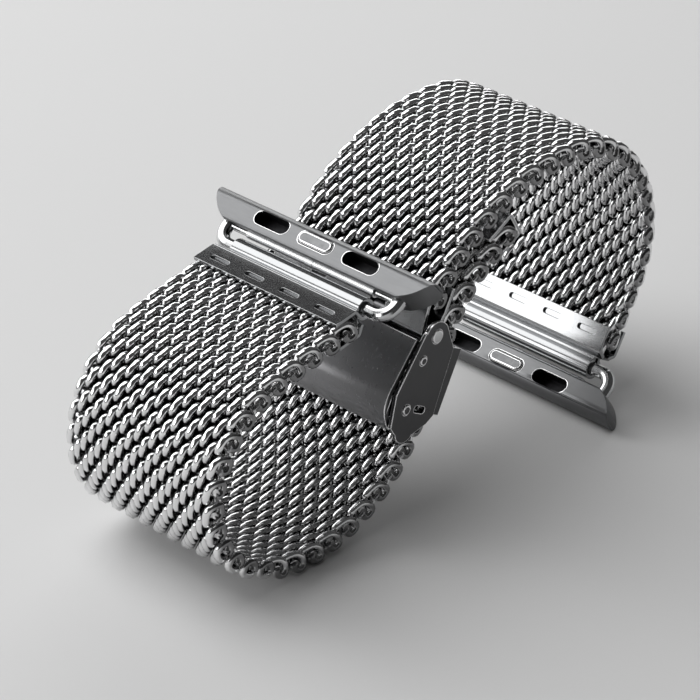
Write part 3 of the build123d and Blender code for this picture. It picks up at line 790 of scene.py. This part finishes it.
class BAND_OT_clasp(bpy.types.Operator):
    """Finishes the clasp: its channel, cover, pins and grip"""

    bl_idname = "band.clasp"
    bl_label = "Finish the Clasp"

    def execute(self, context):
        rim = context.scene.band_finish.rim
        cover = softened("clasp_cover", "clasp_cover_brushed", rim, smooth=11)
        cover.data.transform(Matrix.Diagonal((COVER_STRETCH, 1, 1, 1)))
        settle(cover, "clasp_cover", finish_named("brushed_steel"))
        channel = softened("clasp_channel", "clasp_channel_brushed", rim)
        settle(channel, "clasp_channel", finish_named("shaded_steel"))
        for node, finish in (
            ("cover_pin", "shaded_steel"),
            ("spacer_pin", "shaded_steel"),
            ("cross_bar", "polished_wire"),
        ):
            pin = softened(node, node + "_domed", 2 * rim)
            settle(pin, node, finish_named(finish))
        grip = softened("grip_bar", "grip_bar_toothed", rim / 2)
        settle(grip, "grip_bar", finish_named("rolled_sheet"))
        return {"FINISHED"}


# The stage


def soft_light(name, toward, long_way, size, power):
    """An oblong soft light that looks at the middle of the band."""
    bpy.ops.object.light_add(type="AREA")
    light = bpy.context.object
    light.name = name
    light.data.shape = "RECTANGLE"
    light.data.size, light.data.size_y = size
    light.data.energy = power
    back = Vector(toward).normalized()
    side = Vector(long_way)
    side = (side - side.dot(back) * back).normalized()
    light.rotation_euler = Matrix((side, back.cross(side), back)).transposed().to_euler()
    light.location = back * LIGHT_DISTANCE + LIGHTS_AIM


def pale_floor(colour):
    """A plain floor under the band, which isn't part of it."""
    bpy.ops.mesh.primitive_plane_add(size=FLOOR_SIZE, location=(0, 0, 0))
    floor = bpy.context.object
    floor.name = "floor"
    material = bpy.data.materials.new("pale_floor")
    material.use_nodes = True
    shader = material.node_tree.nodes["Principled BSDF"]
    shader.inputs["Base Color"].default_value = (*colour, 1)
    shader.inputs["Roughness"].default_value = FLOOR_ROUGHNESS
    floor.data.materials.append(material)


def photo_camera():
    """A camera with a long lens, placed and turned as the photograph's was."""
    bpy.ops.object.camera_add(location=CAMERA_PLACE)
    camera = bpy.context.object
    back = Vector(CAMERA_BACK).normalized()
    up = back.cross(Vector(CAMERA_RIGHT).normalized()).normalized()
    camera.rotation_euler = Matrix((up.cross(back), up, back)).transposed().to_euler()
    camera.data.lens = CAMERA_LENS
    camera.data.sensor_width = CAMERA_SENSOR
    camera.data.clip_start = CAMERA_NEAR
    return camera


class BAND_OT_stage(bpy.types.Operator):
    """Adds the pale floor, the soft lights and the camera"""

    bl_idname = "band.stage"
    bl_label = "Set the Stage"

    def execute(self, context):
        settings = context.scene.band_stage
        pale_floor(settings.floor_colour)
        for name, (toward, long_way, size) in LIGHTS.items():
            soft_light(f"{name}_light", toward, long_way, size, getattr(settings, name))
        world = bpy.data.worlds.new("studio")
        world.use_nodes = True
        room = world.node_tree.nodes["Background"]
        room.inputs["Color"].default_value = (*ROOM_COLOUR, 1)
        room.inputs["Strength"].default_value = ROOM_STRENGTH
        context.scene.world = world
        context.scene.camera = photo_camera()
        context.scene.view_settings.view_transform = "Standard"
        return {"FINISHED"}


class BAND_PT_sidebar(bpy.types.Panel):
    """The band's pieces, in the order in which they are made"""

    bl_idname = "BAND_PT_sidebar"
    bl_label = "Mesh Band"
    bl_space_type = "VIEW_3D"
    bl_region_type = "UI"
    bl_category = "Mesh Band"

    def draw(self, context):
        for operator in OPERATORS:
            self.layout.operator(operator.bl_idname)


SETTINGS = {
    "band_weave": WeaveSettings,
    "band_finish": FinishSettings,
    "band_stage": StageSettings,
}
OPERATORS = (BAND_OT_stage, BAND_OT_weave, BAND_OT_adapters, BAND_OT_sheet_ends, BAND_OT_clasp)


def register():
    for cls in (*SETTINGS.values(), *OPERATORS, BAND_PT_sidebar):
        bpy.utils.register_class(cls)
    for name, group in SETTINGS.items():
        setattr(bpy.types.Scene, name, PointerProperty(type=group))


def unregister():
    for name in SETTINGS:
        delattr(bpy.types.Scene, name)
    for cls in (*SETTINGS.values(), *OPERATORS, BAND_PT_sidebar):
        bpy.utils.unregister_class(cls)


def main():
    register()
    bpy.ops.object.select_all(action="DESELECT")
    bpy.ops.band.stage()
    bpy.ops.band.weave()
    bpy.ops.band.adapters()
    bpy.ops.band.sheet_ends()
    bpy.ops.band.clasp()


if __name__ == "__main__":
    main()
